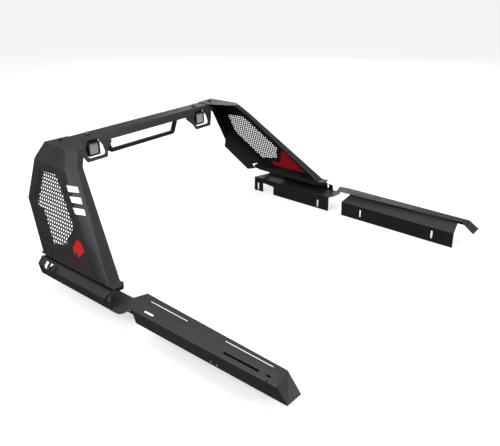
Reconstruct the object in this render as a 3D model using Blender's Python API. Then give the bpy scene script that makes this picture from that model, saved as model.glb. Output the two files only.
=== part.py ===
"""Pickup-bed headache rack: two folded side wings, a crossbar, two work lamps and two bed-rail covers.

Metres. +Z is up, +Y points to the cab, +X is the right-hand side seen from the tailgate.
A point is written (x, s, h): x outward from the middle, s rearward from the front of the rack,
h up from the lowest edge of the inner flanges.
"""

import math

import bmesh
import bpy
from mathutils import Vector

# Overall layout
HALF_LENGTH = 0.8480
SHEET = 0.003
GAP = 0.0003
SIDES = ((1, "right"), (-1, "left"))

# Side wing
TOP_H = 0.609
SHOULDER_H = 0.542
KNEE_H = 0.364
SOLE_H = 0.166
CUT_H = 0.154
PANEL_X_AT_ZERO = 0.9058
PANEL_LEAN = 0.43
STRIPS = 8
FLANGE_SPLAY = 0.2857
FLANGE_DEPTH = 0.064
FOOT_PLATE = 0.020
FOOT_LIP = 0.003
FOOT_RECESS_X = 0.820

# Openings in the side wing, as (s, h) points on its main panel
WINDOW = (
    (0.068, 0.500),
    (0.196, 0.505),
    (0.222, 0.488),
    (0.411, 0.324),
    (0.385, 0.241),
    (0.260, 0.214),
    (0.084, 0.376),
)
VENTS = (
    ((0.2918, 0.4787), (0.3559, 0.4865), (0.3775, 0.4660), (0.3172, 0.4555)),
    ((0.3319, 0.4396), (0.3969, 0.4485), (0.4198, 0.4256), (0.3569, 0.4189)),
    ((0.3719, 0.3999), (0.4388, 0.4086), (0.4623, 0.3870), (0.4009, 0.3780)),
)
EMBLEM = (
    (0.442, 0.280),
    (0.478, 0.280),
    (0.520, 0.250),
    (0.498, 0.217),
    (0.480, 0.217),
    (0.470, 0.232),
    (0.456, 0.217),
    (0.432, 0.246),
)
BARS = 13
BAR_FIRST_S = 0.366
BAR_PITCH = 0.0158
BAR_WIDTH = 0.005
BAR_SLANT = 0.006
BAR_LOW = 0.187
BAR_HIGH = 0.204

# Sheets behind the wing's openings
MESH_OUTLINE = (
    (0.046, 0.516),
    (0.228, 0.522),
    (0.438, 0.330),
    (0.402, 0.224),
    (0.252, 0.194),
    (0.060, 0.372),
)
MESH_PITCH = 0.022
MESH_HOLE = 0.0085
MESH_EDGE = 0.011
MESH_ROWS = 18
MESH_COLUMNS = 20
BACKING_OUTLINE = (
    (0.444, 0.310),
    (0.464, 0.306),
    (0.594, 0.180),
    (0.345, 0.180),
    (0.345, 0.211),
    (0.410, 0.213),
)
BACK_SHEET = 0.002

# Crossbar and centre loop
BAR_HALF_LENGTH = 0.556
BAR_TOP_H = TOP_H - SHEET - GAP
BAR_LOW_H = 0.566
BAR_FRONT_S = 0.010
BAR_REAR_S = 0.095
BAR_REAR_FLARE = 0.010
LOOP_TUBE = 0.020
LOOP_S = 0.018
LOOP_LOW_H = 0.467
LOOP_HALF_LOW = 0.235
LOOP_HALF_TOP = 0.290

# Work lamps
LAMP_X = 0.390
LAMP_S = 0.079
LAMP_H = 0.540
LAMP_SIZE = 0.074
LAMP_FRONT = 0.027
LAMP_BACK = 0.018
STUD_S = 0.058
STUD_BORE = 0.0046
WINDOW_LOW_S = 0.131
WINDOW_LOW_H = 0.4875
LAMP_WINDOW = (
    (0.335, 0.512),
    (0.337, 0.548),
    (0.357, 0.586),
    (0.423, 0.586),
    (0.443, 0.548),
    (0.443, 0.512),
    (0.432, 0.5030),
    (0.346, 0.5030),
)

# Width adjustment at the wing tops
CLAMP_X = 0.540
CLAMP_S = 0.050
SLIDE = 0.012

# Bed-rail bracket under each wing
BASE_FRONT_S = 0.240
BASE_REAR_S = 0.775
TONGUE_REAR_S = 0.839
INNER_X = 0.757
FLOOR_H = 0.092
SKIRT_X = 0.880
SKIRT_LOW_H = FLOOR_H - SHEET
SKIRT_BEND_X = 0.872
SKIRT_BEND_H = 0.126
SKIRT_TOP_X = 0.836
LEDGE_H = SOLE_H - FOOT_PLATE - 2 * GAP
LEDGE_INNER_X = 0.770
LEDGE_REAR_S = 0.722
FOOT_BOLT_X = 0.795
FOOT_BOLT_S = (0.330, 0.600)
FOOT_BORE = 0.0046
SKIRT_WINDOW_S = (0.273, 0.311, 0.349)
SKIRT_WINDOW = ((0.0, 0.1385), (0.024, 0.1385), (0.044, 0.1175), (0.024, 0.1175))

# Rear bed-rail cover
RAIL_FRONT_S = 0.850
RAIL_REAR_S = 1.623
RAIL_TOP_H = 0.150
RAIL_TOP_X = 0.825
RAIL_INNER_FRONT_X = 0.752
RAIL_INNER_REAR_X = 0.785
RAIL_BEND_X = 0.866
RAIL_BEND_H = 0.137
RAIL_LOW_X = 0.880
RAIL_LOW_H = 0.096
RAIL_FLANGE_BEND_H = 0.086
CAP_LEAN = 0.068
WEB_TOP_X = 0.807
WEB_TAB_X = 0.821
WEB_TOP_H = RAIL_TOP_H - SHEET - GAP
TOP_SLOTS = ((0.7882, 1.040, 0.219), (0.7974, 1.461, 0.230))
TOP_SLOT_TURN = 0.0275
SIDE_SLOTS = ((0.984, 0.056, 0.005), (1.465, 0.168, 0.004), (1.587, 0.020, 0.004))
DRAIN_HOLES = ((1.347, 0.103), (1.377, 0.102), (1.594, 0.136))


def clear_scene():
    for obj in list(bpy.data.objects):
        bpy.data.objects.remove(obj, do_unlink=True)


def material(name, colour, metallic, roughness):
    made = bpy.data.materials.new(name)
    made.use_nodes = True
    shader = made.node_tree.nodes["Principled BSDF"]
    shader.inputs["Base Color"].default_value = (*colour, 1.0)
    shader.inputs["Metallic"].default_value = metallic
    shader.inputs["Roughness"].default_value = roughness
    return made


def place(side, x, s, h):
    return (side * x, HALF_LENGTH - s, h)


def add_object(name, verts, faces, side=1, smooth=False):
    """A mesh object from (x, s, h) points. On the right side, faces turn counter-clockwise from outside."""
    mesh = bpy.data.meshes.new(name)
    points = [place(side, *vert) for vert in verts]
    loops = [tuple(face) if side > 0 else tuple(reversed(face)) for face in faces]
    mesh.from_pydata(points, [], loops)
    mesh.validate()
    obj = bpy.data.objects.new(name, mesh)
    bpy.context.scene.collection.objects.link(obj)
    if smooth:
        mesh.shade_smooth()
        mesh.set_sharp_from_angle(angle=math.radians(35))
    return obj


def close_outward(obj):
    """Turns the faces of a closed mesh outward."""
    work = bmesh.new()
    work.from_mesh(obj.data)
    bmesh.ops.recalc_face_normals(work, faces=work.faces)
    work.to_mesh(obj.data)
    work.free()
    return obj


def folded_sheet(name, verts, faces, side, thickness=SHEET):
    """One folded sheet: the given faces are its outer surface, and its metal lies behind them."""
    obj = add_object(name, verts, faces, side)
    solid = obj.modifiers.new("thickness", "SOLIDIFY")
    solid.thickness = thickness
    solid.offset = -1.0
    solid.use_even_offset = True
    solid.use_quality_normals = True
    return obj


def loft(name, rings, side=1, smooth=False):
    """A closed body through rings of equally many (x, s, h) points, with flat ends."""
    count = len(rings[0])
    verts = [point for ring in rings for point in ring]
    faces = []
    for level in range(len(rings) - 1):
        low = level * count
        high = low + count
        for k in range(count):
            after = (k + 1) % count
            faces.append((low + k, low + after, high + after, high + k))
    faces.append(tuple(reversed(range(count))))
    faces.append(tuple(range(len(verts) - count, len(verts))))
    return close_outward(add_object(name, verts, faces, side, smooth))


def prism(name, outline, shift, side=1):
    """A flat outline of (x, s, h) points, carried along the shift."""
    moved = [tuple(a + b for a, b in zip(point, shift)) for point in outline]
    return loft(name, [outline, moved], side)


def turned(name, centre, axis, profile, side=1, segments=24):
    """A round piece: profile gives (distance along the axis, radius) from end to end."""
    first, second = {"x": ("s", "h"), "s": ("x", "h"), "h": ("x", "s")}[axis]
    rings = []
    for along, radius in profile:
        ring = []
        for k in range(segments):
            turn = 2 * math.pi * k / segments
            offsets = {axis: along, first: radius * math.cos(turn), second: radius * math.sin(turn)}
            ring.append(tuple(c + offsets[letter] for c, letter in zip(centre, "xsh")))
        rings.append(ring)
    return loft(name, rings, side, smooth=True)


def cut(target, cutters):
    """Takes the cutters out of the target, and leaves them as unrendered guides."""
    for cutter in cutters:
        cutter.hide_render = True
        cutter.display_type = "WIRE"
        taken = target.modifiers.new("cut_" + cutter.name, "BOOLEAN")
        taken.operation = "DIFFERENCE"
        taken.solver = "EXACT"
        taken.object = cutter


def joined(name, pieces):
    """One cutter from several closed pieces that don't meet."""
    work = bmesh.new()
    for piece in pieces:
        work.from_mesh(piece.data)
        bpy.data.objects.remove(piece, do_unlink=True)
    mesh = bpy.data.meshes.new(name)
    work.to_mesh(mesh)
    work.free()
    obj = bpy.data.objects.new(name, mesh)
    bpy.context.scene.collection.objects.link(obj)
    return obj


def give(obj, finish):
    """The object's own copy of a finish."""
    own = finish.copy()
    own.name = obj.name + "_finish"
    obj.data.materials.clear()
    obj.data.materials.append(own)
    return obj


def panel_x(h):
    """How far out the wing's main panel stands at a height."""
    return PANEL_X_AT_ZERO - PANEL_LEAN * h


def panel_point(s, h, depth=0.0):
    """A point on the main panel's outer face, or the depth inward of it."""
    length = math.hypot(1.0, PANEL_LEAN)
    return (panel_x(h) - depth / length, s, h - depth * PANEL_LEAN / length)


def panel_prism(name, outline, depth_from, depth_to, side):
    """A body between two depths behind the main panel, with an outline of (s, h)."""
    near = [panel_point(s, h, depth_from) for s, h in outline]
    far = [panel_point(s, h, depth_to) for s, h in outline]
    return loft(name, [near, far], side)


def between(a, b, share):
    """The point that lies this share of the way from a to b."""
    return tuple(p + share * (q - p) for p, q in zip(a, b))


def divided(verts, first, last):
    """Adds the points that divide an edge evenly, and gives the whole edge's indices."""
    edge = [first]
    for k in range(1, STRIPS):
        edge.append(len(verts))
        verts.append(between(verts[first], verts[last], k / STRIPS))
    return [*edge, last]


def ruled(near, far):
    """The triangles of a surface stretched between two divided edges."""
    faces = []
    for k in range(STRIPS):
        faces.append((near[k], far[k], far[k + 1]))
        faces.append((near[k], far[k + 1], near[k + 1]))
    return faces


def flange_point(along, depth):
    """A point on the lower front flange: along the panel's front edge below the knee, then inward."""
    length = math.hypot(1.0, PANEL_LEAN)
    knee = Vector(panel_point(0.0255, KNEE_H))
    edge = (Vector(panel_point(0.2477, CUT_H)) - knee).normalized()
    inward = Vector((-1.0, 0.0, -PANEL_LEAN)) / length
    forward = inward.cross(edge)
    return tuple(knee + along * edge + depth * (inward + FLANGE_SPLAY * forward))


def wing_surface():
    """The wing's outer surface: corner points, and the flat faces between its folds."""
    verts = [
        (0.475, 0.012, TOP_H),
        (0.602, 0.002, TOP_H),
        (0.617, 0.1976, TOP_H),
        (0.589, 0.246, TOP_H),
        (0.548, 0.246, TOP_H),
        (0.473, 0.100, TOP_H),
        panel_point(0.005, SHOULDER_H),
        panel_point(0.0255, KNEE_H),
        flange_point(0.3445, 0.0),
        (0.6055, 0.3041, 0.5435),
        (0.7773, 0.732, CUT_H),
        panel_point(0.0045, SHOULDER_H, FLANGE_DEPTH),
        (0.557, 0.0017, 0.5853),
        flange_point(0.021, 0.060),
        flange_point(0.046, 0.094),
        flange_point(0.262, 0.095),
        panel_point(0.2616, 0.5355),
        panel_point(0.6445, CUT_H),
        (0.6405, 0.3041, 0.5435),
        (0.8423, 0.732, CUT_H),
    ]
    # The shoulder and the rear chamfer twist, so each is built of narrow strips between two edges.
    crown_edge = divided(verts, 1, 2)
    shoulder_edge = divided(verts, 6, 16)
    panel_edge = divided(verts, 16, 17)
    rear_edge = divided(verts, 18, 19)
    faces = [
        (0, 5, 4, 3, *reversed(crown_edge)),
        (*shoulder_edge, *panel_edge[1:], 8, 7),
        (2, 3, 18, 16),
        (3, 4, 9, 18),
        (18, 9, 10, *reversed(rear_edge[1:])),
        (1, 6, 11, 12),
        (6, 7, 13, 11),
        (7, 8, 15, 14, 13),
    ]
    faces += ruled(shoulder_edge, crown_edge)
    faces += ruled(panel_edge, rear_edge)
    return verts, faces


def wing_shell(side, name, finish):
    verts, faces = wing_surface()
    shell = folded_sheet(name, verts, faces, side)
    cutters = [panel_prism("cut_window", WINDOW, -0.03, 0.03, side)]
    # Below the sole the wing is trimmed off, but the flange's inner part hangs down in front of the foot.
    below = ((0.782, 0.10), (0.90, 0.10), (0.90, 0.90), (0.60, 0.90), (0.60, 0.30), (0.782, 0.30))
    cutters.append(prism("cut_below", [(x, s, SOLE_H) for x, s in below], (0, 0, -0.06), side))
    cutters.append(panel_prism("cut_emblem", EMBLEM, -0.010, 0.0031, side))
    for k in range(BARS):
        s = BAR_FIRST_S + BAR_PITCH * k
        bar = (
            (s, BAR_HIGH),
            (s + BAR_WIDTH, BAR_HIGH),
            (s + BAR_WIDTH + BAR_SLANT, BAR_LOW),
            (s + BAR_SLANT, BAR_LOW),
        )
        cutters.append(panel_prism("cut_bar", bar, -0.010, 0.0031, side))
    for outline in VENTS:
        cutters.append(panel_prism("cut_vent", outline, -0.030, 0.050, side))
    slot = [(CLAMP_X + x, CLAMP_S + s, TOP_H + 0.01) for x, s in slot_outline(2 * SLIDE, 0.0045)]
    cutters.append(prism("cut_clamp_slot", slot, (0, 0, -0.02), side))
    cut(shell, [joined(f"cutter_{name}", cutters)])
    return give(shell, finish)


def slot_outline(straight, radius, steps=4):
    """A rounded slot about the origin, longest along its first coordinate."""
    points = []
    for end, start in ((1, -90), (-1, 90)):
        for k in range(steps + 1):
            turn = math.radians(start + 180 * k / steps)
            points.append((end * straight / 2 + radius * math.cos(turn), radius * math.sin(turn)))
    return points


def inside(point, outline):
    """True if the (s, h) point lies inside the outline by a clear margin."""
    total = len(outline)
    signs = []
    for k in range(total):
        a = outline[k]
        b = outline[(k + 1) % total]
        length = math.hypot(b[0] - a[0], b[1] - a[1])
        cross = (b[0] - a[0]) * (point[1] - a[1]) - (b[1] - a[1]) * (point[0] - a[0])
        signs.append(cross / length)
    return min(signs) > MESH_EDGE or max(signs) < -MESH_EDGE


def mesh_panel(side, name, finish):
    plate = panel_prism(name, MESH_OUTLINE, SHEET + GAP, SHEET + GAP + BACK_SHEET, side)
    corners = [math.radians(60 * k + 30) for k in range(6)]
    row_height = MESH_PITCH * math.cos(math.radians(30))
    holes = []
    for row in range(MESH_ROWS):
        h = 0.205 + row * row_height
        for column in range(MESH_COLUMNS):
            s = 0.050 + (column + 0.5 * (row % 2)) * MESH_PITCH
            if inside((s, h), WINDOW):
                hexagon = [(s + MESH_HOLE * math.cos(a), h + MESH_HOLE * math.sin(a)) for a in corners]
                holes.append(panel_prism("cut_hole", hexagon, -0.002, 0.012, side))
    cut(plate, [joined(f"cutter_{name}", holes)])
    return give(plate, finish)


def backing_plate(side, name, finish):
    """The coloured sheet that shows through the emblem and the bars."""
    return give(panel_prism(name, BACKING_OUTLINE, SHEET + GAP, SHEET + GAP + BACK_SHEET, side), finish)


def bore(x, s, h, radius, side):
    """A round cutter along h, from 10 mm under the height to 20 mm over it."""
    return turned("cut_bore", (x, s, h), "h", ((-0.010, radius), (0.020, radius)), side)


def foot_plate(side, name, finish):
    low = SOLE_H - GAP - FOOT_PLATE
    outline = (
        (0.8385, 0.222),
        (0.8385, 0.762),
        (0.790, 0.762),
        (0.773, 0.745),
        (0.773, 0.222),
    )
    plate = prism(name, [(x, s, low) for x, s in outline], (0, 0, FOOT_PLATE), side)
    recess = (
        (FOOT_RECESS_X, 0.20, low - 0.010),
        (0.86, 0.20, low - 0.010),
        (0.86, 0.20, SOLE_H - GAP - FOOT_LIP),
        (FOOT_RECESS_X, 0.20, SOLE_H - GAP - FOOT_LIP),
    )
    cutters = [bore(FOOT_BOLT_X, s, low, FOOT_BORE, side) for s in FOOT_BOLT_S]
    cutters.append(prism("cut_recess", recess, (0, 0.62, 0), side))
    cut(plate, [joined(f"cutter_{name}", cutters)])
    return give(plate, finish)


def base_bracket(side, name, finish):
    verts = [
        (LEDGE_INNER_X, 0.262, LEDGE_H),
        (SKIRT_TOP_X, 0.222, LEDGE_H),
        (SKIRT_BEND_X, 0.240, SKIRT_BEND_H),
        (SKIRT_X, 0.275, SKIRT_LOW_H),
        (INNER_X, BASE_FRONT_S, SKIRT_LOW_H),
        (INNER_X, BASE_FRONT_S, 0.0),
        (LEDGE_INNER_X, LEDGE_REAR_S, LEDGE_H),
        (SKIRT_TOP_X, 0.735, LEDGE_H),
        (SKIRT_BEND_X, BASE_REAR_S, SKIRT_BEND_H),
        (SKIRT_X, BASE_REAR_S, SKIRT_LOW_H),
        (INNER_X, BASE_REAR_S, SKIRT_LOW_H),
        (INNER_X, BASE_REAR_S, 0.0),
        (INNER_X, 0.820, SKIRT_LOW_H),
        (INNER_X, 0.820, 0.0),
        (0.790, 0.834, SKIRT_LOW_H),
        (0.815, TONGUE_REAR_S, SKIRT_LOW_H),
        (0.860, TONGUE_REAR_S, SKIRT_LOW_H),
        (0.877, 0.828, SKIRT_LOW_H),
        (SKIRT_X, 0.800, SKIRT_LOW_H),
    ]
    faces = [
        (0, 6, 7, 1),
        (1, 7, 8, 2),
        (2, 8, 9, 3),
        (3, 9, 10, 4),
        (4, 10, 11, 5),
        (9, 18, 17, 16, 15, 14, 12, 10),
        (10, 12, 13, 11),
    ]
    bracket = folded_sheet(name, verts, faces, side)
    cutters = []
    for start in SKIRT_WINDOW_S:
        outline = [(0.79, start + s, h) for s, h in SKIRT_WINDOW]
        cutters.append(prism("cut_skirt_window", outline, (0.12, 0, 0), side))
    rear_slot = [(0.80, 0.741 + v, 0.120 + u) for u, v in slot_outline(0.030, 0.0055)]
    cutters.append(prism("cut_skirt_slot", rear_slot, (0.12, 0, 0), side))
    notch = ((0.312, -0.01), (0.397, -0.01), (0.397, 0.055), (0.312, 0.062))
    cutters.append(prism("cut_notch", [(0.74, s, h) for s, h in notch], (0.035, 0, 0), side))
    for s in (0.272, 0.742):
        slot = [(0.74, s + v, 0.032 + u) for u, v in slot_outline(0.038, 0.0055)]
        cutters.append(prism("cut_flange_slot", slot, (0.035, 0, 0), side))
    for s in FOOT_BOLT_S:
        cutters.append(bore(FOOT_BOLT_X, s, LEDGE_H, FOOT_BORE, side))
    cut(bracket, [joined(f"cutter_{name}", cutters)])
    return give(bracket, finish)


def rail_inner_x(s):
    share = (s - RAIL_FRONT_S) / (RAIL_REAR_S - RAIL_FRONT_S)
    return RAIL_INNER_FRONT_X + share * (RAIL_INNER_REAR_X - RAIL_INNER_FRONT_X)


def rail_cover(side, name, finish):
    verts = [
        (rail_inner_x(0.875), 0.875, RAIL_TOP_H),
        (RAIL_TOP_X, RAIL_FRONT_S, RAIL_TOP_H),
        (RAIL_BEND_X, 0.900, RAIL_BEND_H),
        (RAIL_LOW_X, 0.940, RAIL_LOW_H),
        (RAIL_INNER_REAR_X, RAIL_REAR_S, RAIL_TOP_H),
        (RAIL_TOP_X, RAIL_REAR_S, RAIL_TOP_H),
        (RAIL_BEND_X, RAIL_REAR_S + 0.014, RAIL_BEND_H),
        (RAIL_LOW_X, RAIL_REAR_S + CAP_LEAN, RAIL_LOW_H),
    ]
    faces = [
        (0, 4, 5, 1),
        (1, 5, 6, 2),
        (2, 6, 7, 3),
    ]
    rail = folded_sheet(name, verts, faces, side)
    cutters = []
    for x, middle, length in TOP_SLOTS:
        slot = slot_outline(length - 0.006, 0.003)
        outline = [(x + v + TOP_SLOT_TURN * u, middle + u, RAIL_TOP_H + 0.01) for u, v in slot]
        cutters.append(prism("cut_top_slot", outline, (0, 0, -0.02), side))
    for middle, length, radius in SIDE_SLOTS:
        slot = slot_outline(length - 2 * radius, radius)
        outline = [(0.845 + v, middle + u, RAIL_TOP_H + 0.01) for u, v in slot]
        cutters.append(prism("cut_side_slot", outline, (0, 0, -0.040), side))
    for s, h in DRAIN_HOLES:
        cutters.append(turned("cut_drain", (0.84, s, h), "x", ((0, 0.0028), (0.06, 0.0028)), side, 12))
    cut(rail, [joined(f"cutter_{name}", cutters)])
    return give(rail, finish)


def rail_flange(side, name, finish):
    """The folded plate under a rail cover: a tab under its top, a sloping web, and the hanging flange."""
    verts = [
        (WEB_TAB_X, 0.962, WEB_TOP_H),
        (WEB_TAB_X, 1.600, WEB_TOP_H),
        (WEB_TOP_X, 0.957, WEB_TOP_H),
        (WEB_TOP_X, 1.605, WEB_TOP_H),
        (INNER_X, 0.910, RAIL_FLANGE_BEND_H),
        (INNER_X, 1.605, RAIL_FLANGE_BEND_H),
        (INNER_X, 0.913, 0.0),
        (INNER_X, 1.607, 0.0),
    ]
    faces = [
        (0, 2, 3, 1),
        (2, 4, 5, 3),
        (4, 6, 7, 5),
    ]
    flange = folded_sheet(name, verts, faces, side)
    cutters = []
    for s in (1.040, 1.485):
        slot = [(0.74, s + v, 0.043 + u) for u, v in slot_outline(0.036, 0.0055)]
        cutters.append(prism("cut_flange_slot", slot, (0.035, 0, 0), side))
    cut(flange, [joined(f"cutter_{name}", cutters)])
    return give(flange, finish)


def rail_end_cap(side, name, finish):
    back = RAIL_REAR_S + GAP
    outline = [
        (RAIL_INNER_REAR_X + 0.001, back, RAIL_TOP_H),
        (RAIL_TOP_X, back, RAIL_TOP_H),
        (RAIL_BEND_X, back + 0.014, RAIL_BEND_H),
        (RAIL_LOW_X, back + CAP_LEAN, RAIL_LOW_H),
        (0.800, back + CAP_LEAN, RAIL_LOW_H - 0.004),
    ]
    cap = prism(name, outline, (0, SHEET, 0.0008), side)
    return give(cap, finish)


def clamp_bolt(side, name, finish):
    profile = (
        (-0.012, 0.004),
        (TOP_H - BAR_TOP_H + GAP, 0.004),
        (TOP_H - BAR_TOP_H + GAP, 0.0135),
        (TOP_H - BAR_TOP_H + 0.0022, 0.0135),
        (TOP_H - BAR_TOP_H + 0.0022, 0.0085),
        (TOP_H - BAR_TOP_H + 0.0070, 0.0080),
        (TOP_H - BAR_TOP_H + 0.0080, 0.0060),
    )
    return give(turned(name, (CLAMP_X, CLAMP_S, BAR_TOP_H), "h", profile, side), finish)


def foot_bolt(side, name, s, finish):
    low = LEDGE_H - SHEET
    head = SOLE_H + GAP
    profile = (
        (-0.010, 0.0040),
        (head - low, 0.0040),
        (head - low, 0.0110),
        (head - low + 0.002, 0.0110),
        (head - low + 0.002, 0.0080),
        (head - low + 0.008, 0.0074),
    )
    return give(turned(name, (FOOT_BOLT_X, s, low), "h", profile, side, 20), finish)


def crossbar(finish):
    front = BAR_FRONT_S
    rear = BAR_REAR_S
    low_rear = rear + BAR_REAR_FLARE
    end = BAR_HALF_LENGTH
    profile = (
        (front + 0.0005, BAR_LOW_H),
        (front, BAR_TOP_H),
        (rear, BAR_TOP_H),
        (low_rear, BAR_LOW_H),
        (low_rear - SHEET, BAR_LOW_H),
        (rear - SHEET, BAR_TOP_H - SHEET),
        (front + SHEET, BAR_TOP_H - SHEET),
        (front + 0.0005 + SHEET, BAR_LOW_H),
    )
    bar = loft("crossbar_channel", [[(-end, s, h) for s, h in profile], [(end, s, h) for s, h in profile]])
    cutters = []
    for side, _ in SIDES:
        outline = [(x, 0.075, h) for x, h in LAMP_WINDOW]
        cutters.append(prism("cut_window", outline, (0, 0.07, 0), side))
        cutters.append(bore(LAMP_X, STUD_S, BAR_TOP_H, STUD_BORE, side))
        cutters.append(bore(CLAMP_X, CLAMP_S, BAR_TOP_H, 0.0044, side))
    cut(bar, [joined("cutter_crossbar", cutters)])
    return give(bar, finish)


def centre_loop(finish):
    rise = BAR_TOP_H - SHEET - GAP - LOOP_LOW_H
    lean = (LOOP_HALF_TOP - LOOP_HALF_LOW) / rise
    wall = LOOP_TUBE * math.hypot(1.0, lean)
    inner_low = LOOP_HALF_LOW - wall + lean * LOOP_TUBE
    top = LOOP_LOW_H + rise
    outline = [
        (-LOOP_HALF_TOP, top),
        (-LOOP_HALF_LOW - 0.008, LOOP_LOW_H + 0.010),
        (-LOOP_HALF_LOW + 0.006, LOOP_LOW_H),
        (LOOP_HALF_LOW - 0.006, LOOP_LOW_H),
        (LOOP_HALF_LOW + 0.008, LOOP_LOW_H + 0.010),
        (LOOP_HALF_TOP, top),
        (LOOP_HALF_TOP - wall, top),
        (inner_low, LOOP_LOW_H + LOOP_TUBE),
        (-inner_low, LOOP_LOW_H + LOOP_TUBE),
        (-LOOP_HALF_TOP + wall, top),
    ]
    loop = prism("centre_loop_rail", [(x, LOOP_S, h) for x, h in outline], (0, LOOP_TUBE, 0))
    return give(loop, finish)


def window_bracket(side, name, finish):
    """The folded plate that hangs from the crossbar and frames a lamp."""
    bend_s = BAR_REAR_S + BAR_REAR_FLARE - SHEET - 1.5 * GAP
    top_h = BAR_TOP_H - SHEET - 0.0015
    top_s = bend_s - BAR_REAR_FLARE * (top_h - BAR_LOW_H) / (BAR_TOP_H - SHEET - BAR_LOW_H)
    lean = (WINDOW_LOW_S - bend_s) / (BAR_LOW_H - WINDOW_LOW_H)
    step_h = 0.553
    step_s = bend_s + lean * (BAR_LOW_H - step_h)
    knee_h = 0.520
    knee_s = bend_s + lean * (BAR_LOW_H - knee_h)
    verts = [
        (0.284, top_s, top_h),
        (0.495, top_s, top_h),
        (0.495, bend_s, BAR_LOW_H),
        (0.277, bend_s, BAR_LOW_H),
        (0.4915, step_s, step_h),
        (0.277, step_s, step_h),
        (0.314, knee_s, knee_h),
        (0.454, WINDOW_LOW_S, WINDOW_LOW_H),
        (0.330, WINDOW_LOW_S, WINDOW_LOW_H),
    ]
    faces = [(0, 3, 2, 1), (3, 5, 6, 8, 7, 4, 2)]
    bracket = folded_sheet(name, verts, faces, side)
    tool = prism(f"cutter_{name}", [(x, 0.070, h) for x, h in LAMP_WINDOW], (0, 0.08, 0), side)
    cut(bracket, [tool])
    return give(bracket, finish)


def rounded_square(size, corner, steps=3):
    half = size / 2 - corner
    points = []
    for quarter, (sx, sh) in enumerate(((1, 1), (-1, 1), (-1, -1), (1, -1))):
        for k in range(steps + 1):
            turn = math.radians(90 * quarter + 90 * k / steps)
            points.append((sx * half + corner * math.cos(turn), sh * half + corner * math.sin(turn)))
    return points


def lamp_ring(size, corner, depth):
    """A rounded square about the lamp's axis, the depth behind its pivot line."""
    return [(LAMP_X + x, LAMP_S + depth, LAMP_H + h) for x, h in rounded_square(size, corner)]


def lamp_nodes(side, tag, finishes):
    dark, glass, bright, steel, black_steel = finishes
    front = LAMP_FRONT
    housing = loft(
        f"lamp_{tag}_housing",
        [
            lamp_ring(LAMP_SIZE - 0.012, 0.006, -LAMP_BACK),
            lamp_ring(LAMP_SIZE, 0.008, -LAMP_BACK + 0.007),
            lamp_ring(LAMP_SIZE, 0.008, front - 0.003),
            lamp_ring(0.0610, 0.005, front - 0.003),
            lamp_ring(0.0610, 0.005, front - 0.020),
        ],
        side,
    )
    give(housing, dark)
    reflector = loft(
        f"lamp_{tag}_reflector",
        [lamp_ring(0.0602, 0.0048, front - 0.0196), lamp_ring(0.0602, 0.0048, front - 0.0075)],
        side,
    )
    give(reflector, bright)
    lens = loft(
        f"lamp_{tag}_lens",
        [lamp_ring(0.0602, 0.0048, front - 0.0070), lamp_ring(0.0602, 0.0048, front - 0.0034)],
        side,
    )
    give(lens, glass)
    bezel = loft(
        f"lamp_{tag}_bezel",
        [lamp_ring(LAMP_SIZE, 0.008, front - 0.0027), lamp_ring(LAMP_SIZE - 0.002, 0.007, front)],
        side,
    )
    opening = loft(
        f"cutter_lamp_{tag}_bezel",
        [lamp_ring(0.0540, 0.004, front - 0.008), lamp_ring(0.0550, 0.004, front + 0.004)],
        side,
    )
    cut(bezel, [opening])
    give(bezel, dark)

    arm = SHEET
    gap = 0.0006
    inner = LAMP_SIZE / 2 + gap
    top = BAR_TOP_H - SHEET - GAP
    outline = [
        (-inner - arm, LAMP_H - 0.012),
        (-inner - arm, top),
        (inner + arm, top),
        (inner + arm, LAMP_H - 0.012),
        (inner, LAMP_H - 0.012),
        (inner, top - arm),
        (-inner, top - arm),
        (-inner, LAMP_H - 0.012),
    ]
    yoke = prism(f"lamp_{tag}_yoke", [(LAMP_X + x, 0.048, h) for x, h in outline], (0, 0.0388, 0), side)
    cutters = [
        turned("cut_pivot", (LAMP_X - 0.06, LAMP_S, LAMP_H), "x", ((0, 0.0032), (0.12, 0.0032)), side, 20),
        bore(LAMP_X, STUD_S, top, STUD_BORE, side),
    ]
    cut(yoke, [joined(f"cutter_lamp_{tag}_yoke", cutters)])
    give(yoke, black_steel)

    for way, word in ((1, "outer"), (-1, "inner")):
        start = LAMP_SIZE / 2 + GAP
        head = inner + arm + GAP
        profile = (
            (way * start, 0.0030),
            (way * head, 0.0030),
            (way * head, 0.0062),
            (way * (head + 0.0030), 0.0056),
        )
        screw = turned(f"lamp_{tag}_pivot_{word}", (LAMP_X, LAMP_S, LAMP_H), "x", profile, side, 20)
        give(screw, steel)

    under = top - arm - GAP
    stud = turned(
        f"lamp_{tag}_stud",
        (LAMP_X, STUD_S, 0.0),
        "h",
        (
            (under - 0.0035, 0.0062),
            (under, 0.0062),
            (under, 0.0040),
            (BAR_TOP_H + 0.0035 + GAP, 0.0040),
            (BAR_TOP_H + 0.0035 + GAP, 0.0068),
            (BAR_TOP_H + 0.0100, 0.0068),
            (BAR_TOP_H + 0.0100, 0.0046),
            (BAR_TOP_H + 0.0190, 0.0046),
            (BAR_TOP_H + 0.0200, 0.0038),
        ),
        side,
    )
    give(stud, steel)
    washer = turned(
        f"lamp_{tag}_washer",
        (LAMP_X, STUD_S, BAR_TOP_H + GAP),
        "h",
        ((0, 0.0150), (0.0020, 0.0150), (0.0032, 0.0130)),
        side,
    )
    cut(washer, [joined(f"cutter_lamp_{tag}_washer", [bore(LAMP_X, STUD_S, BAR_TOP_H, STUD_BORE, side)])])
    give(washer, dark)


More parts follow.
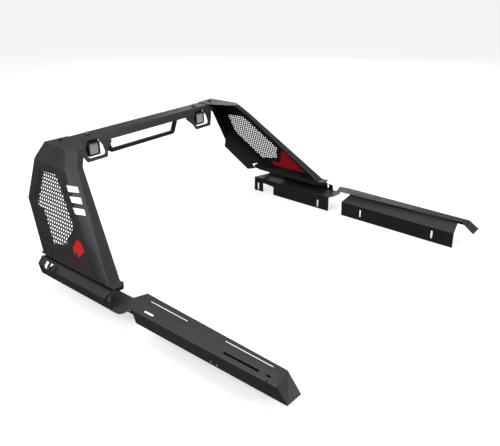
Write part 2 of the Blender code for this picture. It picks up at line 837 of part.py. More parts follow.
def build():
    clear_scene()
    powder = material("powder_coat", (0.022, 0.022, 0.023), 0.0, 0.55)
    red = material("red_paint", (0.55, 0.010, 0.018), 0.0, 0.40)
    cast = material("black_aluminium", (0.015, 0.015, 0.016), 0.3, 0.45)
    lens = material("clear_lens", (0.80, 0.80, 0.76), 0.0, 0.12)
    bright = material("bright_reflector", (0.78, 0.78, 0.74), 1.0, 0.20)
    zinc = material("zinc_steel", (0.60, 0.58, 0.50), 1.0, 0.32)
    black_bolt = material("black_oxide", (0.02, 0.02, 0.02), 0.7, 0.45)

    crossbar(powder)
    centre_loop(powder)
    for side, tag in SIDES:
        wing_shell(side, f"wing_{tag}_shell", powder)
        mesh_panel(side, f"wing_{tag}_mesh", powder)
        backing_plate(side, f"wing_{tag}_backing", red)
        foot_plate(side, f"wing_{tag}_foot_plate", powder)
        base_bracket(side, f"wing_{tag}_base_bracket", powder)
        for word, s in zip(("front", "rear"), FOOT_BOLT_S):
            foot_bolt(side, f"wing_{tag}_foot_bolt_{word}", s, black_bolt)
        clamp_bolt(side, f"clamp_bolt_{tag}", black_bolt)
        rail_cover(side, f"rail_{tag}_cover", powder)
        rail_flange(side, f"rail_{tag}_flange", powder)
        rail_end_cap(side, f"rail_{tag}_end_cap", powder)
        window_bracket(side, f"lamp_{tag}_window_bracket", powder)
        lamp_nodes(side, tag, (cast, lens, bright, zinc, black_bolt))


build()
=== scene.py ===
import math

import bmesh
import bpy
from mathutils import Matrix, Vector


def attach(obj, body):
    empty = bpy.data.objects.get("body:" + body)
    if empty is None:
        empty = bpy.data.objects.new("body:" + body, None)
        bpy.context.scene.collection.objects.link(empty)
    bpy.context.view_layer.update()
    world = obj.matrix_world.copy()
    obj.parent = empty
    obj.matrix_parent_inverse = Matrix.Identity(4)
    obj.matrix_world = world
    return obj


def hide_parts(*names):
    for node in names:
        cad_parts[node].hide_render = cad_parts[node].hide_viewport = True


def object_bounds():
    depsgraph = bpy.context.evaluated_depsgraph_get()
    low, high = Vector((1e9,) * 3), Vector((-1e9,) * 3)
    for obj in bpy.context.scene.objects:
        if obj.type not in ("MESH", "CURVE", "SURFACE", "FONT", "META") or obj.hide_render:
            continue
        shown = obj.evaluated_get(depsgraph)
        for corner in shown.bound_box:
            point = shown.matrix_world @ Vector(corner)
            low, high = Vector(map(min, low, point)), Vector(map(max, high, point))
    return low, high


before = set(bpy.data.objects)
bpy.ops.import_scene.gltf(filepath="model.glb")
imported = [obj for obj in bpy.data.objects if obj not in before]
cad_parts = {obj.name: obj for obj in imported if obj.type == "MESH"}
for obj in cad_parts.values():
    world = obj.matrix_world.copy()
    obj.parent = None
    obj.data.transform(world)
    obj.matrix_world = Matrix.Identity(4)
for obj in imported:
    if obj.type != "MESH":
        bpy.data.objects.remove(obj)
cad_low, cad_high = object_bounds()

# Camera and stage
CAMERA_AT = (-2.1185, -1.6980, 1.4569)
CAMERA_AZIMUTH = -50.76
CAMERA_ELEVATION = 24.87
CAMERA_LENS = 42.2
FLOOR_HALF = 60.0
FLOOR_BOUNCE = 0.06
FLOOR_GLOW = 0.55
SKY_STRENGTH = 0.45
LIGHTS = (
    # name, place, aimed at, width, height, power
    ("key", (-3.4, 0.9, 2.6), (-0.8, -0.1, 0.2), 1.6, 1.6, 55.0),
    ("rim", (5.0, 3.0, 2.05), (0.8, 0.2, 0.3), 4.0, 1.2, 45.0),
    ("overhead", (-0.3, 0.6, 3.6), (-0.2, 0.1, 0.3), 3.0, 3.0, 45.0),
    ("fill", (1.8, -3.2, 1.2), (0.0, 0.7, 0.5), 0.8, 0.8, 40.0),
)

# Layout shared with the CAD source: a point is (x outward, s rearward from the front, h up)
FRONT_Y = 0.8480
SIDES = ((1, "right"), (-1, "left"))
SHEET = 0.003
GAP = 0.0003
PANEL_X_AT_ZERO = 0.9058
PANEL_LEAN = 0.43
LAMP_X, LAMP_S, LAMP_H = 0.390, 0.079, 0.540
LAMP_FRONT = 0.027
LAMP_SIZE = 0.074
LAMP_FIN_ROWS = 5
LAMP_FIN_ROW_PITCH = 0.0052
LAMP_FINS = 9
LAMP_FIN_PITCH = 0.0064
REFLECTOR_HALF = 0.0298
REFLECTOR_CELLS = 36
REFLECTOR_SETBACK = 0.0078
CUP_OFFSET = 0.0142
CUP_RADIUS = 0.0134
CUP_DEPTH = 0.0108
STUD_S = 0.058
BAR_TOP_H = 0.6057
TOP_H = 0.609
CLAMP_X, CLAMP_S = 0.540, 0.050
FOOT_BOLT_X = 0.795
FOOT_BOLT_S = (0.330, 0.600)
SOLE_H = 0.166
LEDGE_H = 0.1454

# Folds and rims of the sheet pieces
FOLD_WIDTH = 0.0028
RIM_WIDTH = 0.0005
RIM_FACE = 0.0036
COPLANAR = math.radians(0.6)
CREASE = math.radians(9.0)

# Perforated window sheet
MESH_PITCH = 0.0172
MESH_HOLE = 0.0054
MESH_SIDES = 18
MESH_DEPTH = SHEET + GAP
MESH_SHEET = 0.0015
MESH_FIRST_S, MESH_FIRST_H = 0.040, 0.190
MESH_ROWS = range(-1, 24)
MESH_COLUMNS = range(-2, 27)
MESH_OUTLINE = (
    (0.046, 0.516), (0.228, 0.522), (0.438, 0.330), (0.402, 0.224), (0.252, 0.194), (0.060, 0.372),
)
MESH_SCREWS = (
    (0.149, 0.514), (0.0616, 0.4357), (0.1094, 0.3282), (0.1951, 0.2452),
    (0.3001, 0.2012), (0.4006, 0.2820), (0.3743, 0.3643), (0.2928, 0.4480),
)


# ---------------------------------------------------------------- materials

def noise(tree, where, scale, detail=4.0, roughness=0.55):
    node = tree.nodes.new("ShaderNodeTexNoise")
    node.inputs["Scale"].default_value = scale
    node.inputs["Detail"].default_value = detail
    node.inputs["Roughness"].default_value = roughness
    tree.links.new(where, node.inputs["Vector"])
    return node.outputs["Fac"]


def ramp(tree, value, stops):
    node = tree.nodes.new("ShaderNodeValToRGB")
    node.color_ramp.elements[0].position = stops[0][0]
    node.color_ramp.elements[0].color = stops[0][1]
    node.color_ramp.elements[1].position = stops[-1][0]
    node.color_ramp.elements[1].color = stops[-1][1]
    for position, colour in stops[1:-1]:
        node.color_ramp.elements.new(position).color = colour
    tree.links.new(value, node.inputs["Fac"])
    return node.outputs["Color"]


def spread(tree, value, low, high):
    node = tree.nodes.new("ShaderNodeMapRange")
    node.inputs["From Min"].default_value = 0.3
    node.inputs["From Max"].default_value = 0.7
    node.inputs["To Min"].default_value = low
    node.inputs["To Max"].default_value = high
    tree.links.new(value, node.inputs["Value"])
    return node.outputs["Result"]


def procedural(name, dark, light, rough, metallic=0.0, patch=9.0, grain=700.0, peel=260.0,
               relief=0.00012, **shader_values):
    """A finish with two-scale colour variation, uneven gloss and a fine relief."""
    made = bpy.data.materials.new(name)
    made.use_nodes = True
    tree = made.node_tree
    shader = tree.nodes["Principled BSDF"]
    where = tree.nodes.new("ShaderNodeTexCoord").outputs["Object"]
    broad = noise(tree, where, patch)
    fine = noise(tree, where, grain, detail=2.0)
    skin = noise(tree, where, peel, detail=3.0)
    mix = tree.nodes.new("ShaderNodeMix")
    mix.data_type = "FLOAT"
    mix.inputs[0].default_value = 0.45
    tree.links.new(broad, mix.inputs[2])
    tree.links.new(fine, mix.inputs[3])
    colour = ramp(tree, mix.outputs[0], ((0.34, (*dark, 1.0)), (0.66, (*light, 1.0))))
    tree.links.new(colour, shader.inputs["Base Color"])
    tree.links.new(spread(tree, mix.outputs[0], *rough), shader.inputs["Roughness"])
    shader.inputs["Metallic"].default_value = metallic
    bump = tree.nodes.new("ShaderNodeBump")
    bump.inputs["Strength"].default_value = 0.5
    bump.inputs["Distance"].default_value = relief
    tree.links.new(skin, bump.inputs["Height"])
    tree.links.new(bump.outputs["Normal"], shader.inputs["Normal"])
    for key, value in shader_values.items():
        shader.inputs[key.replace("_", " ")].default_value = value
    return made


POWDER = procedural("powder_coat", (0.020, 0.020, 0.021), (0.030, 0.030, 0.031), (0.40, 0.56), relief=0.00020)
# A lighter, glossier copy of the powder coat for the rounded folds and rims: a painted highlight along the
# edges.
POWDER_EDGE_HIGHLIGHT = procedural("powder_coat_edge_highlight", (0.026, 0.026, 0.027), (0.042, 0.042, 0.042), (0.36, 0.50),
                         relief=0.00010)
RED = procedural("red_paint", (0.74, 0.012, 0.022), (0.88, 0.024, 0.036), (0.34, 0.46), patch=30.0)
# A darker, glossier copy of the red paint for the backing's rounded rims: painted shade along the edges.
RED_EDGE_SHADE = procedural("red_paint_edge_shade", (0.58, 0.02, 0.03), (0.70, 0.04, 0.05), (0.26, 0.34), patch=30.0)
CAST = procedural("black_aluminium", (0.012, 0.012, 0.013), (0.022, 0.022, 0.023), (0.38, 0.52),
                  metallic=0.2, patch=60.0)
# A lighter, more metallic copy of the black aluminium for rounded edges: a painted highlight along the edges.
CAST_EDGE_HIGHLIGHT = procedural("black_aluminium_edge_highlight", (0.03, 0.03, 0.032), (0.06, 0.06, 0.06), (0.28, 0.38),
                       metallic=0.4, patch=60.0)
ZINC = procedural("zinc_steel", (0.46, 0.44, 0.36), (0.66, 0.64, 0.56), (0.22, 0.40),
                  metallic=1.0, patch=160.0, relief=0.00005)
OXIDE = procedural("black_oxide", (0.020, 0.020, 0.021), (0.045, 0.044, 0.043), (0.34, 0.50),
                   metallic=0.7, patch=120.0)
BRIGHT = procedural("bright_reflector", (0.78, 0.78, 0.76), (0.92, 0.92, 0.90), (0.24, 0.40),
                    metallic=0.35, patch=90.0, relief=0.00003)
LENS = procedural("clear_lens", (0.92, 0.92, 0.90), (0.98, 0.98, 0.97), (0.06, 0.14),
                  patch=50.0, relief=0.00003, Transmission_Weight=0.2, IOR=1.49)
EMITTER = procedural("led_phosphor", (0.78, 0.74, 0.52), (0.88, 0.85, 0.66), (0.35, 0.50), patch=400.0)


# ---------------------------------------------------------------- helpers

def place(side, x, s, h):
    return Vector((side * x, FRONT_Y - s, h))


def panel_point(s, h, depth=0.0):
    length = math.hypot(1.0, PANEL_LEAN)
    return (PANEL_X_AT_ZERO - PANEL_LEAN * h - depth / length, s, h - depth * PANEL_LEAN / length)


def show(name, work, body, *finishes, sharp=30.0):
    """A piece from a bmesh, with smooth shading broken at sharp edges, on a CAD body."""
    mesh = bpy.data.meshes.new(name)
    work.normal_update()
    work.to_mesh(mesh)
    work.free()
    for finish in finishes:
        mesh.materials.append(finish)
    obj = bpy.data.objects.new(name, mesh)
    bpy.context.scene.collection.objects.link(obj)
    mesh.shade_smooth()
    mesh.set_sharp_from_angle(angle=math.radians(sharp))
    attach(obj, body)
    return obj


def face_width(face):
    """About how wide a long thin face is."""
    return 2.0 * face.calc_area() / max(face.calc_perimeter(), 1e-9)


def cleaned(node):
    """A bmesh of a CAD node with its flat regions merged."""
    work = bmesh.new()
    work.from_mesh(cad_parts[node].data)
    bmesh.ops.remove_doubles(work, verts=work.verts, dist=2e-5)
    bmesh.ops.dissolve_limit(work, angle_limit=COPLANAR, verts=work.verts, edges=work.edges)
    bmesh.ops.recalc_face_normals(work, faces=work.faces)
    return work


def refined(node, body, finish, edge_finish_and_painted_light, fold=FOLD_WIDTH, rim=RIM_WIDTH):
    """The CAD node's own shape with rounded folds and softened rims, standing for it; the folds and rims take
    the second material, which on powder and cast pieces is a painted highlight and on red pieces painted
    shade.
    """
    work = cleaned(node)
    weight = work.edges.layers.float.new("bevel_weight_edge")
    for edge in work.edges:
        if len(edge.link_faces) != 2 or edge.calc_face_angle(0.0) < CREASE:
            continue
        narrow = min(face_width(face) for face in edge.link_faces)
        edge[weight] = rim / fold if narrow < RIM_FACE else 1.0
    obj = show(node + "_skin", work, body, finish, edge_finish_and_painted_light)
    bevel = obj.modifiers.new("edges", "BEVEL")
    bevel.limit_method = "WEIGHT"
    bevel.width = fold
    bevel.segments = 3
    bevel.use_clamp_overlap = False
    # The bevel faces take the second material: on powder and cast pieces a lighter copy (painted highlight
    # along the edges), on red pieces a darker copy (painted shade along the edges).
    bevel.material = 1
    bevel.harden_normals = True
    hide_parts(node)
    return obj


def around(work, centre, axis, rings, segments, side=1):
    """A closed body through rings (distance along the axis, radius as a number or function of the turn)."""
    axes = {"x": (1, 2, 0), "s": (0, 2, 1), "h": (0, 1, 2)}[axis]
    made = []
    for along, radius in rings:
        ring = []
        for k in range(segments):
            turn = 2 * math.pi * k / segments
            reach = radius(turn) if callable(radius) else radius
            offset = [0.0, 0.0, 0.0]
            offset[axes[0]] = reach * math.cos(turn)
            offset[axes[1]] = reach * math.sin(turn)
            offset[axes[2]] = along
            ring.append(work.verts.new(place(side, *(c + o for c, o in zip(centre, offset)))))
        made.append(ring)
    faces = []
    for low, high in zip(made, made[1:]):
        for k in range(segments):
            after = (k + 1) % segments
            faces.append(work.faces.new((low[k], low[after], high[after], high[k])))
    faces.append(work.faces.new(list(reversed(made[0]))))
    faces.append(work.faces.new(made[-1]))
    bmesh.ops.recalc_face_normals(work, faces=faces)
    return made


def hexagon(across):
    """The reach of a hexagon, across its flats, at a turn."""
    def reach(turn):
        local = (turn + math.pi / 6) % (math.pi / 3) - math.pi / 6
        return across / 2 / math.cos(local)
    return reach


def chamfered(across, limit):
    shape = hexagon(across)
    return lambda turn: min(shape(turn), limit)


def hex_head(work, centre, axis, start, height, across, side=1, way=1):
    corner = across / 2 / math.cos(math.pi / 6)
    rings = (
        (start, chamfered(across, corner * 0.95)),
        (start + way * height * 0.12, hexagon(across)),
        (start + way * height * 0.80, hexagon(across)),
        (start + way * height * 0.92, chamfered(across, corner * 0.945)),
        (start + way * height, chamfered(across, across * 0.475)),
        (start + way * height, across * 0.30),
        (start + way * height * 0.93, across * 0.26),
    )
    around(work, centre, axis, rings, 48, side)


def thread(work, centre, start, end, radius, side=1, pitch=0.00125):
    """A bolt's thread along h, a helix cut into the shank."""
    steps = max(4, int(round((end - start) / pitch * 4)))
    rings = []
    for k in range(steps + 1):
        along = start + (end - start) * k / steps
        taper = min(1.0, (steps - k + 1) / 4)

        def reach(turn, along=along, taper=taper):
            phase = (along / pitch + turn / (2 * math.pi)) % 1.0
            return radius * (0.80 + 0.12 * taper) + radius * 0.14 * abs(2 * phase - 1) * taper
        rings.append((along, reach))
    around(work, centre, "h", rings, 20, side)


# ---------------------------------------------------------------- perforated sheet

def perforated(side, tag):
    work = bmesh.new()
    lift = MESH_DEPTH
    height = MESH_PITCH * math.sqrt(3) / 2
    corner = MESH_PITCH / math.sqrt(3)
    cache = {}

    def vertex(s, h):
        key = (round(s, 6), round(h, 6))
        if key not in cache:
            cache[key] = work.verts.new((s, h, 0.0))
        return cache[key]

    for row in MESH_ROWS:
        h = MESH_FIRST_H + row * height
        for column in MESH_COLUMNS:
            s = MESH_FIRST_S + (column + 0.5 * (row % 2)) * MESH_PITCH
            corners = [
                vertex(s + corner * math.cos(turn), h + corner * math.sin(turn))
                for turn in (math.radians(60 * k + 30) for k in range(6))
            ]
            hole = [
                work.verts.new((s + MESH_HOLE * math.cos(2 * math.pi * k / MESH_SIDES + math.pi / 6),
                                h + MESH_HOLE * math.sin(2 * math.pi * k / MESH_SIDES + math.pi / 6), 0.0))
                for k in range(MESH_SIDES)
            ]
            per = MESH_SIDES // 6
            for k in range(6):
                arc = [hole[(k * per + j) % MESH_SIDES] for j in range(per + 1)]
                work.faces.new([corners[k], corners[(k + 1) % 6], *reversed(arc)])
    total = len(MESH_OUTLINE)
    middle = sum((Vector((*point, 0.0)) for point in MESH_OUTLINE), Vector()) / total
    for k in range(total):
        a, b = MESH_OUTLINE[k], MESH_OUTLINE[(k + 1) % total]
        normal = Vector((b[1] - a[1], a[0] - b[0], 0.0))
        if normal.dot(middle - Vector((*a, 0.0))) > 0:
            normal.negate()
        everything = work.verts[:] + work.edges[:] + work.faces[:]
        bmesh.ops.bisect_plane(work, geom=everything, plane_co=(*a, 0.0), plane_no=normal, clear_outer=True)
    for vert in work.verts:
        vert.co = place(side, *panel_point(vert.co.x, vert.co.y, lift))
    bmesh.ops.recalc_face_normals(work, faces=work.faces)
    outward = Vector((side, 0, 0.4))
    if sum(face.normal.dot(outward) for face in work.faces) < 0:
        bmesh.ops.reverse_faces(work, faces=work.faces)
    obj = show(f"wing_{tag}_perforated_sheet", work, f"wing_{tag}", POWDER)
    solid = obj.modifiers.new("thickness", "SOLIDIFY")
    solid.thickness = MESH_SHEET
    solid.offset = -1.0
    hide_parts(f"wing_{tag}_mesh")


def panel_screws(side, tag):
    """Button-head screws that hold the perforated sheet, with a hexagon socket in each."""
    work = bmesh.new()
    normal = Vector((side * 1.0, 0.0, PANEL_LEAN)).normalized()
    across = Vector((0.0, 1.0, 0.0))
    up = normal.cross(across)
    for s, h in MESH_SCREWS:
        base = place(side, *panel_point(s, h, 0.0))
        rings = [(0.0, 0.0060), (0.0012, 0.0058), (0.0023, 0.0046), (0.0029, 0.0030),
                 (0.0029, hexagon(0.0040)), (0.0012, hexagon(0.0038))]
        made = []
        for along, radius in rings:
            ring = []
            for k in range(24):
                turn = 2 * math.pi * k / 24
                reach = radius(turn) if callable(radius) else radius
                swing = across * reach * math.cos(turn) + up * reach * math.sin(turn)
                ring.append(work.verts.new(base + normal * along + swing))
            made.append(ring)
        for low, high in zip(made, made[1:]):
            for k in range(24):
                work.faces.new((low[k], low[(k + 1) % 24], high[(k + 1) % 24], high[k]))
        work.faces.new(list(reversed(made[0])))
        work.faces.new(made[-1])
    bmesh.ops.recalc_face_normals(work, faces=work.faces)
    obj = show(f"wing_{tag}_panel_screws", work, f"wing_{tag}", OXIDE)


# ---------------------------------------------------------------- lamps

def rounded_square(size, corner, steps=5):
    half = size / 2 - corner
    points = []
    for quarter, (sx, sh) in enumerate(((1, 1), (-1, 1), (-1, -1), (1, -1))):
        for k in range(steps + 1):
            turn = math.radians(90 * quarter + 90 * k / steps)
            points.append((sx * half + corner * math.cos(turn), sh * half + corner * math.sin(turn)))
    return points


def lamp_rings(work, side, rings):
    made = []
    for size, corner, depth in rings:
        made.append([
            work.verts.new(place(side, LAMP_X + x, LAMP_S + depth, LAMP_H + h))
            for x, h in rounded_square(size, corner)
        ])
    count = len(made[0])
    faces = []
    for low, high in zip(made, made[1:]):
        for k in range(count):
            faces.append(work.faces.new((low[k], low[(k + 1) % count], high[(k + 1) % count], high[k])))
    faces.append(work.faces.new(list(reversed(made[0]))))
    faces.append(work.faces.new(made[-1]))
    bmesh.ops.recalc_face_normals(work, faces=faces)
    return made


def lamp_housing(side, tag):
    front = LAMP_FRONT
    work = bmesh.new()
    rings = [(LAMP_SIZE - 0.014, 0.0055, -0.011)]
    for k in range(LAMP_FIN_ROWS):
        start = -0.011 + LAMP_FIN_ROW_PITCH * k
        rings += [
            (LAMP_SIZE - 0.014, 0.0055, start + 0.0008),
            (LAMP_SIZE - 0.0012, 0.0080, start + 0.0016),
            (LAMP_SIZE, 0.0080, start + 0.0022),
            (LAMP_SIZE, 0.0080, start + 0.0034),
            (LAMP_SIZE - 0.0012, 0.0080, start + 0.0040),
            (LAMP_SIZE - 0.014, 0.0055, start + 0.0048),
        ]
    rings += [
        (LAMP_SIZE - 0.0010, 0.0080, front - 0.0110),
        (LAMP_SIZE, 0.0080, front - 0.0104),
        (LAMP_SIZE, 0.0080, front - 0.0036),
        (LAMP_SIZE - 0.0012, 0.0074, front - 0.0030),
        (0.0612, 0.0050, front - 0.0030),
        (0.0610, 0.0050, front - 0.0200),
    ]
    lamp_rings(work, side, rings)
    middle = (LAMP_FINS - 1) / 2
    for k in range(LAMP_FINS):
        x = (k - middle) * LAMP_FIN_PITCH
        away = abs(k - middle)
        half = LAMP_SIZE / 2 - 0.008 - 0.0012 * away
        profile = ((-0.0180 + 0.0008 * away, 0.0006), (-0.0172 + 0.0008 * away, 0.0010), (-0.0105, 0.0012))
        rows = []
        for depth, thick in profile:
            rows.append([
                work.verts.new(place(side, LAMP_X + x + dx, LAMP_S + depth, LAMP_H + dh))
                for dx, dh in ((thick, half), (-thick, half), (-thick, -half), (thick, -half))
            ])
        faces = [work.faces.new(rows[0]), work.faces.new(list(reversed(rows[-1])))]
        for low, high in zip(rows, rows[1:]):
            for j in range(4):
                faces.append(work.faces.new((low[j], low[(j + 1) % 4], high[(j + 1) % 4], high[j])))
        bmesh.ops.recalc_face_normals(work, faces=faces)
    obj = show(f"lamp_{tag}_finned_housing", work, f"lamp_{tag}", CAST)
    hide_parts(f"lamp_{tag}_housing")


def lamp_reflector(side, tag):
    """A bright plate with four deep cups, and a dark boss in the middle."""
    work = bmesh.new()
    face_s = LAMP_FRONT - REFLECTOR_SETBACK
    cells = REFLECTOR_CELLS
    half = REFLECTOR_HALF
    grid = []
    for row in range(cells + 1):
        line = []
        for column in range(cells + 1):
            x = -half + 2 * half * column / cells
            h = -half + 2 * half * row / cells
            away = math.hypot(abs(x) - CUP_OFFSET, abs(h) - CUP_OFFSET) / CUP_RADIUS
            depth = CUP_DEPTH * (1 - away * away) ** 0.85 if away < 1 else 0.0
            line.append(work.verts.new(place(side, LAMP_X + x, LAMP_S + face_s - depth, LAMP_H + h)))
        grid.append(line)
    for row in range(cells):
        for column in range(cells):
            near, far = grid[row], grid[row + 1]
            work.faces.new((near[column], near[column + 1], far[column + 1], far[column]))
    rim = [line[0] for line in grid[::-1]] + grid[0][1:] + [line[-1] for line in grid[1:]] + grid[-1][-2:0:-1]
    back = [work.verts.new(vert.co + Vector((0, face_s - (LAMP_FRONT - 0.0196), 0))) for vert in rim]
    for k in range(len(rim)):
        after = (k + 1) % len(rim)
        work.faces.new((rim[k], rim[after], back[after], back[k]))
    work.faces.new(back)
    bmesh.ops.recalc_face_normals(work, faces=work.faces)
    obj = show(f"lamp_{tag}_cup_reflector", work, f"lamp_{tag}", BRIGHT, sharp=50.0)
    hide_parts(f"lamp_{tag}_reflector")

    chips = bmesh.new()
    for sx in (-1, 1):
        for sh in (-1, 1):
            centre = (LAMP_X + sx * CUP_OFFSET, LAMP_S, LAMP_H + sh * CUP_OFFSET)
            start = face_s - CUP_DEPTH
            dome = ((-0.0004, 0.0026), (0.0006, 0.0026), (0.0014, 0.0022), (0.0021, 0.0013), (0.0023, 0.0004))
            around(chips, centre, "s", [(start + along, radius) for along, radius in dome], 20, side)
    emitters = show(f"lamp_{tag}_emitters", chips, f"lamp_{tag}", EMITTER)

    boss = bmesh.new()
    button = ((-0.0006, 0.0062), (0.0003, 0.0062), (0.0006, 0.0056), (0.0006, 0.0026), (0.0001, 0.0022))
    rings = [(face_s + along, radius) for along, radius in button]
    around(boss, (LAMP_X, LAMP_S, LAMP_H), "s", rings, 24, side)
    middle = show(f"lamp_{tag}_centre_boss", boss, f"lamp_{tag}", CAST)


def lamp_lens(side, tag):
    front = LAMP_FRONT
    work = bmesh.new()
    rings = [
        (0.0596, 0.0045, front - 0.0070),
        (0.0602, 0.0048, front - 0.0067),
        (0.0602, 0.0048, front - 0.0040),
        (0.0592, 0.0044, front - 0.0034),
        (0.0530, 0.0040, front - 0.0034),
        (0.0526, 0.0040, front - 0.0036),
    ]
    lamp_rings(work, side, rings)
    obj = show(f"lamp_{tag}_clear_lens", work, f"lamp_{tag}", LENS)
    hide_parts(f"lamp_{tag}_lens")


# ---------------------------------------------------------------- fasteners

def lamp_stud(side, tag):
    work = bmesh.new()
    centre = (LAMP_X, STUD_S, 0.0)
    under = BAR_TOP_H - 2 * SHEET - 2 * GAP
    hex_head(work, centre, "h", under, 0.0035, 0.0106, side, way=-1)
    around(work, centre, "h", ((under - 0.0001, 0.0040), (BAR_TOP_H + 0.0040, 0.0040)), 24, side)
    hex_head(work, centre, "h", BAR_TOP_H + 0.0038, 0.0062, 0.0118, side)
    thread(work, centre, BAR_TOP_H + 0.0094, BAR_TOP_H + 0.0199, 0.0044, side)
    obj = show(f"lamp_{tag}_stud_and_nut", work, "crossbar", ZINC)
    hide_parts(f"lamp_{tag}_stud")


def flanged_bolt(name, node, body, side, centre, base, flange, across, height, tail):
    work = bmesh.new()
    around(work, centre, "h", ((base, flange), (base + 0.0008, flange), (base + 0.0018, flange * 0.84),
                               (base + 0.0020, flange * 0.60)), 40, side)
    hex_head(work, centre, "h", base + 0.0017, height, across, side)
    around(work, centre, "h", ((base - 0.0080, 0.0040), (base + 0.0003, 0.0040)), 24, side)
    thread(work, centre, base - 0.0078, tail, 0.0040, side)
    obj = show(name, work, body, OXIDE)
    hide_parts(node)


# ---------------------------------------------------------------- stage

def floor_finish():
    """Pale to the camera, and darker to the light that it throws back on the object."""
    pale = bpy.data.materials.new("studio_floor")
    pale.use_nodes = True
    tree = pale.node_tree
    seen = tree.nodes["Principled BSDF"]
    seen.inputs["Base Color"].default_value = (0.90, 0.90, 0.90, 1.0)
    seen.inputs["Roughness"].default_value = 0.9
    seen.inputs["Specular IOR Level"].default_value = 0.0
    seen.inputs["Emission Color"].default_value = (1.0, 1.0, 1.0, 1.0)
    seen.inputs["Emission Strength"].default_value = FLOOR_GLOW
    thrown = tree.nodes.new("ShaderNodeBsdfDiffuse")
    thrown.inputs["Color"].default_value = (FLOOR_BOUNCE, FLOOR_BOUNCE, FLOOR_BOUNCE, 1.0)
    mix = tree.nodes.new("ShaderNodeMixShader")
    tree.links.new(tree.nodes.new("ShaderNodeLightPath").outputs["Is Camera Ray"], mix.inputs["Fac"])
    tree.links.new(thrown.outputs["BSDF"], mix.inputs[1])
    tree.links.new(seen.outputs["BSDF"], mix.inputs[2])
    tree.links.new(mix.outputs["Shader"], tree.nodes["Material Output"].inputs["Surface"])
    return pale


def stage():
    bpy.ops.mesh.primitive_plane_add(size=2 * FLOOR_HALF, location=(0, 0, cad_low.z - 0.0002))
    floor = bpy.context.object
    floor.name = "studio_floor"
    floor.data.materials.append(floor_finish())

    world = bpy.data.worlds.new("studio")
    bpy.context.scene.world = world
    world.use_nodes = True
    tree = world.node_tree
    background = tree.nodes["Background"]
    where = tree.nodes.new("ShaderNodeTexCoord").outputs["Generated"]
    split = tree.nodes.new("ShaderNodeSeparateXYZ")
    tree.links.new(where, split.inputs["Vector"])
    sky = ramp(tree, split.outputs["Z"], (
        (0.0, (0.02, 0.02, 0.02, 1.0)), (0.10, (0.30, 0.30, 0.30, 1.0)), (0.75, (1.0, 1.0, 1.0, 1.0)),
    ))
    tree.links.new(sky, background.inputs["Color"])
    background.inputs["Strength"].default_value = SKY_STRENGTH
    backdrop = tree.nodes.new("ShaderNodeBackground")
    backdrop.inputs["Color"].default_value = (0.96, 0.96, 0.96, 1.0)
    backdrop.inputs["Strength"].default_value = 1.0
    mix = tree.nodes.new("ShaderNodeMixShader")
    tree.links.new(tree.nodes.new("ShaderNodeLightPath").outputs["Is Camera Ray"], mix.inputs["Fac"])
    tree.links.new(background.outputs["Background"], mix.inputs[1])
    tree.links.new(backdrop.outputs["Background"], mix.inputs[2])
    tree.links.new(mix.outputs["Shader"], tree.nodes["World Output"].inputs["Surface"])

    camera_data = bpy.data.cameras.new("camera")
    camera_data.lens = CAMERA_LENS
    camera_data.sensor_width = 36.0
    camera_data.clip_end = 500.0
    camera = bpy.data.objects.new("camera", camera_data)
    bpy.context.scene.collection.objects.link(camera)
    camera.location = CAMERA_AT
    camera.rotation_euler = (math.radians(90.0 - CAMERA_ELEVATION), 0.0, math.radians(CAMERA_AZIMUTH))
    bpy.context.scene.camera = camera
    bpy.context.scene.view_settings.view_transform = "Standard"


def area_light(name, at, towards, width, height, power):
    data = bpy.data.lights.new(name, "AREA")
    data.shape = "RECTANGLE"
    data.size = width
    data.size_y = height
    data.energy = power
    light = bpy.data.objects.new(name, data)
    bpy.context.scene.collection.objects.link(light)
    light.location = at
    light.rotation_euler = (Vector(towards) - Vector(at)).to_track_quat("-Z", "Y").to_euler()


# ---------------------------------------------------------------- build

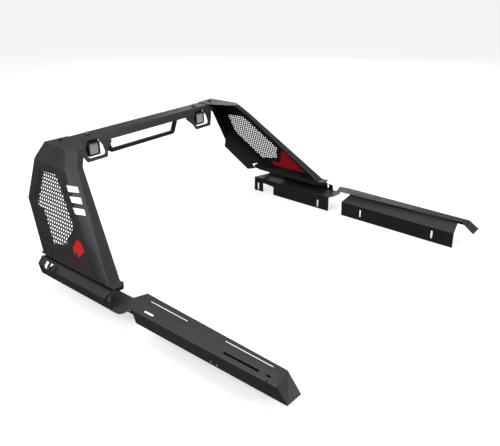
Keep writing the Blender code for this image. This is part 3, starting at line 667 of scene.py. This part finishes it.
refined("crossbar_channel", "crossbar", POWDER, POWDER_EDGE_HIGHLIGHT)
refined("centre_loop_rail", "crossbar", POWDER, POWDER_EDGE_HIGHLIGHT, fold=0.0030, rim=0.0030)
for side, tag in SIDES:
    wing, rail, lamp = f"wing_{tag}", f"rail_{tag}", f"lamp_{tag}"
    refined(f"{wing}_shell", wing, POWDER, POWDER_EDGE_HIGHLIGHT)
    refined(f"{wing}_base_bracket", wing, POWDER, POWDER_EDGE_HIGHLIGHT)
    refined(f"{wing}_foot_plate", wing, POWDER, POWDER_EDGE_HIGHLIGHT, fold=0.0008, rim=0.0008)
    refined(f"{wing}_backing", wing, RED, RED_EDGE_SHADE, fold=0.0005, rim=0.0005)
    refined(f"{rail}_cover", rail, POWDER, POWDER_EDGE_HIGHLIGHT)
    refined(f"{rail}_flange", rail, POWDER, POWDER_EDGE_HIGHLIGHT)
    refined(f"{rail}_end_cap", rail, POWDER, POWDER_EDGE_HIGHLIGHT, fold=0.0006)
    refined(f"{lamp}_window_bracket", "crossbar", POWDER, POWDER_EDGE_HIGHLIGHT)
    refined(f"{lamp}_yoke", "crossbar", OXIDE, OXIDE, fold=0.0012)
    refined(f"{lamp}_bezel", lamp, CAST, CAST_EDGE_HIGHLIGHT, fold=0.0007, rim=0.0005)
    refined(f"{lamp}_washer", "crossbar", CAST, CAST_EDGE_HIGHLIGHT, fold=0.0004, rim=0.0003)
    for word in ("outer", "inner"):
        refined(f"{lamp}_pivot_{word}", lamp, ZINC, ZINC, fold=0.0005, rim=0.0003)
    perforated(side, tag)
    panel_screws(side, tag)
    lamp_housing(side, tag)
    lamp_reflector(side, tag)
    lamp_lens(side, tag)
    lamp_stud(side, tag)
    flanged_bolt(f"clamp_bolt_{tag}_hex", f"clamp_bolt_{tag}", "crossbar", side, (CLAMP_X, CLAMP_S, 0.0),
                 TOP_H + GAP, 0.0133, 0.0150, 0.0058, BAR_TOP_H - 0.0118)
    for word, s in zip(("front", "rear"), FOOT_BOLT_S):
        bolt = f"{wing}_foot_bolt_{word}"
        flanged_bolt(f"{bolt}_hex", bolt, wing, side, (FOOT_BOLT_X, s, 0.0),
                     SOLE_H + GAP, 0.0110, 0.0128, 0.0062, LEDGE_H - SHEET - 0.0098)
stage()
for light in LIGHTS:
    area_light(*light)
